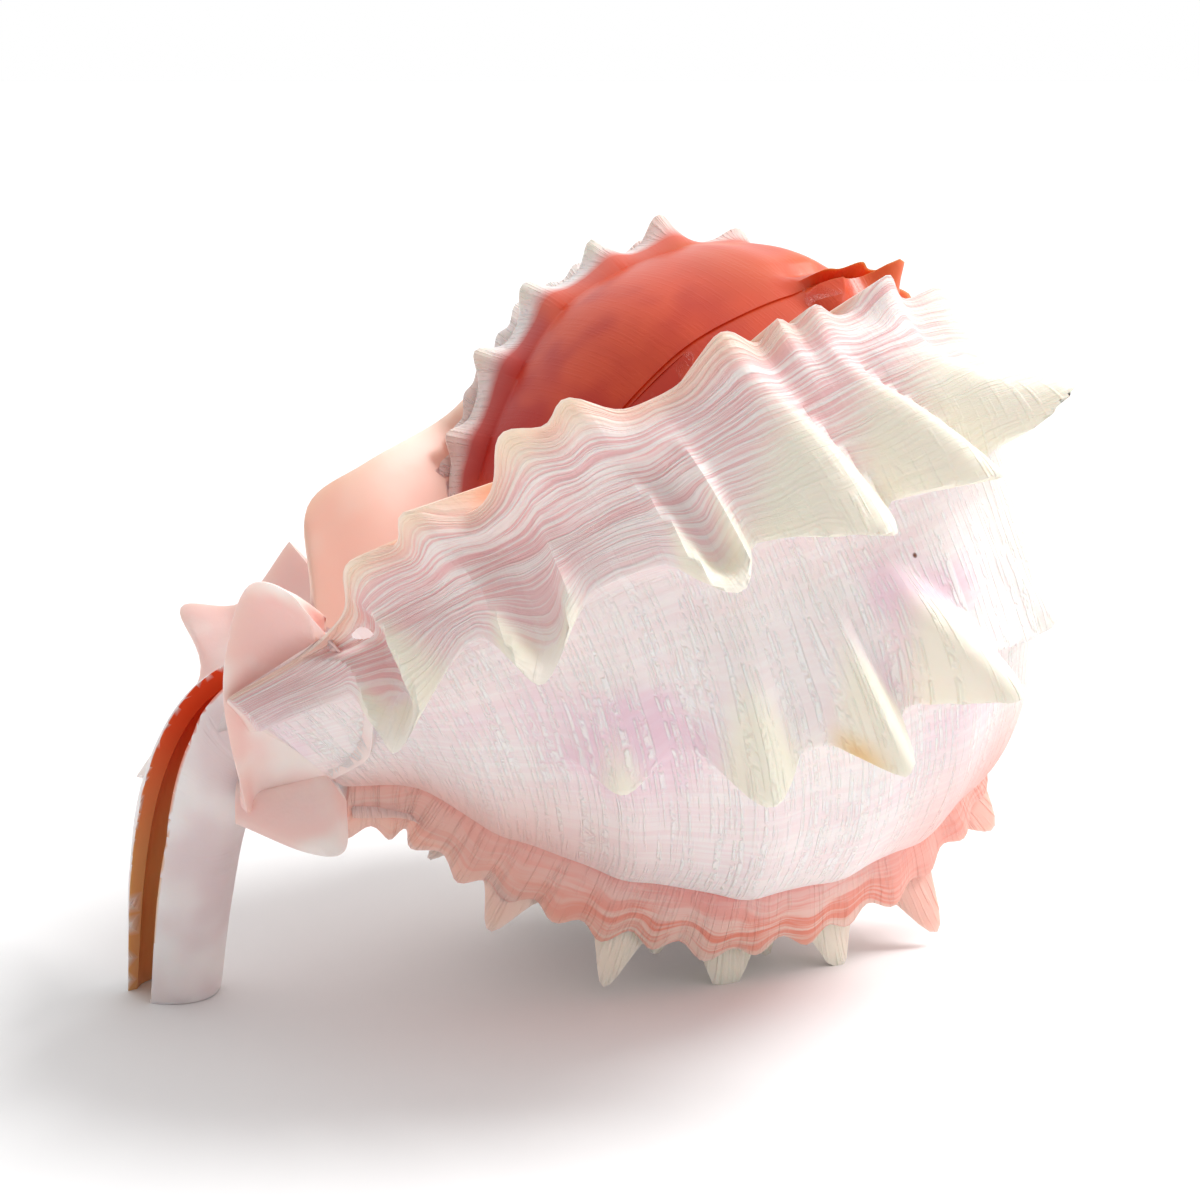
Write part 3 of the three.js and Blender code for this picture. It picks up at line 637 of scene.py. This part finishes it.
# ---------------------------------------------------------------- growth marks on the shell
# Colour and texture were laid down with the growth, so every point of the joined shell gets
# back its growth stage, its place along the outline, its relief, and which layer it is.
KINDS = ("outside", "inside", "canal", "channel", "flap")
all_points = np.vstack([source[1] for source in sources])
starts = np.cumsum([0] + [len(source[1]) for source in sources])
all_tris = np.vstack([source[2] + start for source, start in zip(sources, starts)])
kind_of = np.concatenate([[KINDS.index(source[0])] * len(source[2]) for source in sources])
values = np.stack([np.concatenate([source[k] for source in sources]) for k in (3, 4, 5)], -1)
near = BVHTree.FromPolygons(all_points.tolist(), all_tris.tolist())
hit = np.empty(count, int)
spot = np.empty((count, 3))
for i, point in enumerate(shell_mm.tolist()):
    where, _, index, _ = near.find_nearest(point)
    hit[i] = index
    spot[i] = where
corner = all_tris[hit]
a, b, c = all_points[corner[:, 0]], all_points[corner[:, 1]], all_points[corner[:, 2]]
ab, ac, ap = b - a, c - a, spot - a
d00 = (ab * ab).sum(1)
d01 = (ab * ac).sum(1)
d11 = (ac * ac).sum(1)
d20 = (ap * ab).sum(1)
d21 = (ap * ac).sum(1)
det = np.maximum(d00 * d11 - d01 * d01, 1e-12)
v = np.clip((d11 * d20 - d01 * d21) / det, 0, 1)
w = np.clip((d00 * d21 - d01 * d20) / det, 0, 1)
weight = np.stack([1 - v - w, v, w], -1)
found = (values[corner] * weight[..., None]).sum(1)
kind = kind_of[hit]
growth_stage, along, raised = found.T
glaze = np.where(kind == 1, 1.0, 0.0)
old_turn = (kind == 0) & (growth_stage > 284) & (growth_stage < 470)
glaze = np.where(old_turn, ease((growth_stage - 286) / 5) * ease((440 - growth_stage) / 30), glaze)
glaze = np.where(kind == 4, 0.75, glaze)
glaze = np.where(kind == 3, 1.0, glaze)
for key, value in (("stage", growth_stage), ("along", along), ("raised", raised),
                   ("glaze", glaze), ("tube", np.isin(kind, (2, 3)).astype(float)),
                   ("flap", (kind == 4).astype(float)),
                   ("far", old_turn.astype(float))):
    layer = shell.data.attributes.new(key, "FLOAT", "POINT")
    layer.data.foreach_set("value", np.ascontiguousarray(value, np.float32))


def tint(red, green, blue):
    """A colour given the way it looks, 0 to 255, as the light values the shader needs."""
    return tuple(((c / 255) / 12.92 if c <= 10 else ((c / 255 + 0.055) / 1.055) ** 2.4)
                 for c in (red, green, blue)) + (1,)


class Paint:
    """Short ways to add shader nodes to one material."""

    def __init__(self, material):
        material.use_nodes = True
        self.tree = material.node_tree
        self.nodes = self.tree.nodes
        self.surface = self.nodes["Principled BSDF"]

    def put(self, socket, value):
        if isinstance(value, bpy.types.NodeSocket):
            self.tree.links.new(value, socket)
        else:
            socket.default_value = value

    def mark(self, name):
        """A growth mark kept on the shell's points."""
        node = self.nodes.new("ShaderNodeAttribute")
        node.attribute_name = name
        return node.outputs["Fac"]

    def maths(self, kind, a, b=0.0, c=0.0):
        node = self.nodes.new("ShaderNodeMath")
        node.operation = kind
        for socket, value in zip(node.inputs, (a, b, c)):
            self.put(socket, value)
        return node.outputs[0]

    def span(self, value, low, high, to_low=0.0, to_high=1.0):
        """A soft step between two values."""
        node = self.nodes.new("ShaderNodeMapRange")
        node.interpolation_type = "SMOOTHSTEP"
        for name, v in (("Value", value), ("From Min", low), ("From Max", high),
                        ("To Min", to_low), ("To Max", to_high)):
            self.put(node.inputs[name], v)
        return node.outputs["Result"]

    def band(self, value, middle, half):
        """One near a value, none beyond a half width."""
        off = self.maths("ABSOLUTE", self.maths("SUBTRACT", value, middle))
        return self.span(off, 0.0, half, 1.0, 0.0)

    def place(self, x, y, z=0.0):
        node = self.nodes.new("ShaderNodeCombineXYZ")
        for socket, value in zip(node.inputs, (x, y, z)):
            self.put(socket, value)
        return node.outputs[0]

    def noise(self, where, scale, detail, rough):
        node = self.nodes.new("ShaderNodeTexNoise")
        for name, v in (("Vector", where), ("Scale", scale), ("Detail", detail),
                        ("Roughness", rough)):
            self.put(node.inputs[name], v)
        return node.outputs["Fac"]

    def blend(self, amount, a, b):
        node = self.nodes.new("ShaderNodeMix")
        node.data_type = "RGBA"
        self.put(node.inputs[0], amount)
        self.put(node.inputs[6], a)
        self.put(node.inputs[7], b)
        return node.outputs[2]


paint = Paint(shell_surface)
stage_mark, along_mark = paint.mark("stage"), paint.mark("along")
raised_mark, glaze_mark = paint.mark("raised"), paint.mark("glaze")
tube_mark, flap_mark = paint.mark("tube"), paint.mark("flap")
texture = paint.nodes.new("ShaderNodeTexCoord").outputs["Object"]
blotch = paint.noise(texture, 45, 3, 0.55)
fine = paint.noise(texture, 420, 3, 0.6)
soft = paint.noise(texture, 95, 2, 0.5)

# wavy growth lines: bands of the same growth stage, disturbed a little
waver = paint.maths("MULTIPLY_ADD", soft, 3.0, stage_mark)
lines_wide = paint.noise(paint.place(paint.maths("MULTIPLY", waver, 0.75),
                                     paint.maths("MULTIPLY", along_mark, 0.03)), 1.0, 2, 0.6)
lines_fine = paint.noise(paint.place(paint.maths("MULTIPLY", waver, 2.6),
                                     paint.maths("MULTIPLY", along_mark, 0.06)), 1.0, 2, 0.6)
# spiral threads about a millimetre apart, broken by the growth lines
thread_place = paint.maths("MULTIPLY_ADD", soft, 0.9, along_mark)
thread_noise = paint.noise(paint.place(paint.maths("MULTIPLY", thread_place, 1.9),
                                       paint.maths("MULTIPLY", stage_mark, 0.035)), 1.0, 1, 0.5)
threads = paint.span(thread_noise, 0.46, 0.62)
broken = paint.noise(paint.place(paint.maths("MULTIPLY", along_mark, 0.8),
                                 paint.maths("MULTIPLY", stage_mark, 0.45)), 1.0, 2, 0.7)
threads = paint.maths("MULTIPLY", threads, paint.span(broken, 0.36, 0.56))
threads = paint.maths("MULTIPLY", threads, paint.span(stage_mark, 12.0, 27.0, 0.08, 1.0))
threads = paint.maths("MULTIPLY", threads, paint.span(along_mark, 124.0, 116.0))

near_lip = paint.span(stage_mark, 24.0, 9.0)
band_tone = paint.maths("MULTIPLY", paint.span(lines_wide, 0.40, 0.62, 0.3, 0.0),
                        paint.span(blotch, 0.3, 0.6, 0.4, 1.0))
outside = paint.blend(band_tone, tint(252, 241, 239), tint(244, 208, 212))
lip_lines = paint.blend(paint.span(lines_fine, 0.40, 0.60), tint(240, 184, 184), tint(252, 238, 234))
outside = paint.blend(paint.maths("MULTIPLY", near_lip, 0.85), outside, lip_lines)
lilac = paint.maths("MULTIPLY", paint.span(blotch, 0.50, 0.66), paint.band(stage_mark, 38.0, 36.0))
outside = paint.blend(paint.maths("MULTIPLY", lilac, 0.7), outside, tint(240, 198, 218))
outside = paint.blend(paint.maths("MULTIPLY", threads, 0.7), outside, tint(255, 253, 250))
# cream on the spines and the shoulder
cream = paint.maths("MAXIMUM", paint.span(raised_mark, 2.6, 5.6),
                  paint.maths("MULTIPLY", paint.span(along_mark, 30.0, 8.0), 0.8))
outside = paint.blend(paint.maths("MULTIPLY", cream, 0.9), outside, tint(251, 243, 224))
# a few brown specks and one yellow stain, where the shell was worn: stage, place, radius
SPECKS = ((49.5, 57.0, 0.42), (27.0, 96.0, 0.38), (62.0, 40.0, 0.36), (30.0, 36.0, 0.3))
MM_PER_DEGREE = 0.7
for at, place, across in SPECKS:
    round_turn = paint.maths("MULTIPLY", paint.maths("ADD", stage_mark, -at), MM_PER_DEGREE)
    down_line = paint.maths("ADD", along_mark, -place)
    away = paint.maths("ADD", paint.maths("POWER", round_turn, 2.0),
                       paint.maths("POWER", down_line, 2.0))
    outside = paint.blend(paint.span(away, across * across, 0.0), outside, tint(120, 66, 40))
# the stain
stain = paint.maths("MULTIPLY", paint.band(stage_mark, 46.5, 3.0), paint.band(along_mark, 49.0, 2.4))
outside = paint.blend(paint.maths("MULTIPLY", stain, 0.75), outside, tint(240, 196, 120))
# the newest old lip: a red groove before it and a coral face
groove = paint.band(stage_mark, 94.5, 5.5)
outside = paint.blend(groove, outside, tint(228, 74, 48))
face = paint.band(stage_mark, 99.5, 3.4)
outside = paint.blend(face, outside, paint.blend(paint.span(lines_fine, 0.4, 0.6),
                                                 tint(246, 150, 128), tint(252, 208, 194)))
front_blush = paint.maths("MULTIPLY", paint.span(along_mark, 62.0, 88.0),
                          paint.span(stage_mark, 45.0, 88.0))
outside = paint.blend(paint.maths("MULTIPLY", front_blush, 0.7), outside, tint(246, 186, 172))
shoulder_blush = paint.maths("MULTIPLY", paint.span(along_mark, 44.0, 26.0),
                             paint.span(stage_mark, 56.0, 84.0))
outside = paint.blend(paint.maths("MULTIPLY", shoulder_blush, 0.75), outside, tint(246, 160, 146))
edge_peach = paint.maths("MULTIPLY", paint.span(stage_mark, 4.0, 0.5),
                         paint.span(along_mark, 26.0, 44.0))
outside = paint.blend(paint.maths("MULTIPLY", edge_peach, 0.55), outside, tint(252, 206, 178))
old = paint.span(stage_mark, 104.0, 116.0)
outside = paint.blend(paint.maths("MULTIPLY", old, 0.5), outside, tint(236, 226, 222))

# the glaze of the mouth, the bore of the canal, and the smooth lobes
inside = paint.blend(paint.span(blotch, 0.35, 0.65), tint(186, 28, 6), tint(214, 62, 24))
lip_inside = paint.maths("MULTIPLY", paint.span(stage_mark, 11.0, 1.0),
                         paint.span(along_mark, 96.0, 90.0))
inside = paint.blend(lip_inside, inside, tint(252, 198, 168))
# painted shade: the glaze on the far wall of the mouth is painted deep red lower down toward the
# depths and orange higher up toward the suture, as light falls on it; the blotchy mid tone laid on
# it is its own colour
far_glaze_and_painted_shade = paint.blend(paint.span(along_mark, 60.0, 12.0), tint(190, 30, 6), tint(232, 104, 46))
far_glaze_and_painted_shade = paint.blend(paint.band(blotch, 0.55, 0.12), far_glaze_and_painted_shade, tint(218, 74, 32))
inside = paint.blend(paint.mark("far"), inside, far_glaze_and_painted_shade)
inside = paint.blend(flap_mark, inside, tint(250, 196, 172))
slot = paint.blend(paint.span(stage_mark, 62.0, 92.0), tint(226, 82, 40), tint(226, 168, 112))
inside = paint.blend(tube_mark, inside, slot)
tube_outside = paint.blend(paint.span(soft, 0.35, 0.65), tint(232, 214, 214), tint(246, 238, 236))
outside = paint.blend(tube_mark, outside, tube_outside)
plate = paint.blend(paint.span(along_mark, 132.0, 140.0), tint(252, 226, 220), tint(250, 206, 198))
plate = paint.blend(paint.span(soft, 0.45, 0.65), plate, tint(253, 240, 234))
outside = paint.blend(paint.span(along_mark, 118.0, 124.0), outside, plate)
colour = paint.blend(glaze_mark, outside, inside)
paint.put(paint.surface.inputs["Base Color"], colour)
chalky, glazed = (0.5, 0.5, 0.5, 1), (0.34, 0.34, 0.34, 1)
paint.put(paint.surface.inputs["Roughness"], paint.blend(glaze_mark, chalky, glazed))
paint.surface.subsurface_method = "RANDOM_WALK"
paint.surface.inputs["Subsurface Weight"].default_value = 0.3
paint.surface.inputs["Subsurface Radius"].default_value = (1.0, 0.55, 0.42)
paint.surface.inputs["Subsurface Scale"].default_value = 0.0024
paint.surface.inputs["Coat Weight"].default_value = 0.05
paint.surface.inputs["Coat Roughness"].default_value = 0.3

# the relief too fine to be shape: threads, lip lines and grain, none of it on the glaze
height = paint.maths("MULTIPLY", threads, 0.4)
fold_lines = paint.maths("MULTIPLY", lines_fine, paint.span(stage_mark, 27.0, 12.0, 0.06, 1.0))
fold_lines = paint.maths("MULTIPLY", fold_lines, paint.span(along_mark, 124.0, 116.0))
height = paint.maths("MULTIPLY_ADD", fold_lines, 0.9, height)
height = paint.maths("MULTIPLY_ADD", fine, 0.15, height)
height = paint.maths("MULTIPLY", height, paint.span(glaze_mark, 0.0, 1.0, 1.0, 0.05))
bump = paint.nodes.new("ShaderNodeBump")
bump.inputs["Strength"].default_value = 0.6
bump.inputs["Distance"].default_value = 0.0009
paint.put(bump.inputs["Height"], height)
paint.put(paint.surface.inputs["Normal"], bump.outputs[0])

shell.data.materials.clear()
shell.data.materials.append(shell_surface)
shell.data.polygons.foreach_set("material_index", np.zeros(len(shell.data.polygons), np.int32))
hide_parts("shell")
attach(shell, "root")

# ---------------------------------------------------------------- camera, floor, light
# A long lens a little above the table, a plain pale floor, and a bright room with one soft
# window high on the left.
TARGET = np.array([0, 0, -50.0]) @ turn.T + SET_DOWN
ELEVATION = math.radians(13.1)
DISTANCE = 290.0
LENS, SHIFT_RIGHT, SHIFT_UP = 78.3, 0.0392, 0.0008
back = np.array([0, -math.cos(ELEVATION), math.sin(ELEVATION)])
camera_data = bpy.data.cameras.new("camera")
camera_data.sensor_width = 36
camera_data.lens = LENS
camera_data.shift_x = SHIFT_RIGHT
camera_data.shift_y = SHIFT_UP
camera_data.clip_start = 0.001
camera = bpy.data.objects.new("camera", camera_data)
camera.location = Vector((TARGET + DISTANCE * back) / 1000)
camera.rotation_mode = "QUATERNION"
camera.rotation_quaternion = Vector(-back).to_track_quat("-Z", "Y")
bpy.context.scene.collection.objects.link(camera)
bpy.context.scene.camera = camera

floor_mesh = bpy.data.meshes.new("floor")
reach = 3
floor_mesh.from_pydata([(-reach, -reach, 0), (reach, -reach, 0), (reach, reach, 0),
                        (-reach, reach, 0)], [], [(0, 1, 2, 3)])
floor = bpy.data.objects.new("floor", floor_mesh)
bpy.context.scene.collection.objects.link(floor)
white_floor = bpy.data.materials.new("white_floor")
white_floor.use_nodes = True
floor_surface = white_floor.node_tree.nodes["Principled BSDF"]
floor_surface.inputs["Base Color"].default_value = (0.9, 0.9, 0.9, 1)
floor_surface.inputs["Roughness"].default_value = 0.8
floor_mesh.materials.append(white_floor)
world_light = bpy.data.worlds.new("room")
bpy.context.scene.world = world_light
world_light.use_nodes = True
sky = world_light.node_tree
toward = sky.nodes.new("ShaderNodeVectorMath")
toward.operation = "DOT_PRODUCT"
sky.links.new(sky.nodes.new("ShaderNodeTexCoord").outputs["Generated"], toward.inputs[0])
toward.inputs[1].default_value = (0.45, 0.85, 0.3)
shade = sky.nodes.new("ShaderNodeMapRange")
sky.links.new(toward.outputs["Value"], shade.inputs["Value"])
shade.inputs["From Min"].default_value = -0.5
shade.inputs["From Max"].default_value = 0.45
shade.inputs["To Min"].default_value = 0.4
shade.inputs["To Max"].default_value = 1.0
sky.links.new(shade.outputs["Result"], sky.nodes["Background"].inputs["Strength"])
sky.nodes["Background"].inputs["Color"].default_value = (1, 1, 1, 1)
sun = bpy.data.lights.new("window", "SUN")
sun.energy = 2.4
sun.angle = math.radians(25)
sun_object = bpy.data.objects.new("window", sun)
sun_object.rotation_mode = "QUATERNION"
sun_object.rotation_quaternion = Vector((-0.62, -0.2, -0.78)).to_track_quat("-Z", "Y")
bpy.context.scene.collection.objects.link(sun_object)
bpy.context.scene.view_settings.view_transform = "Standard"
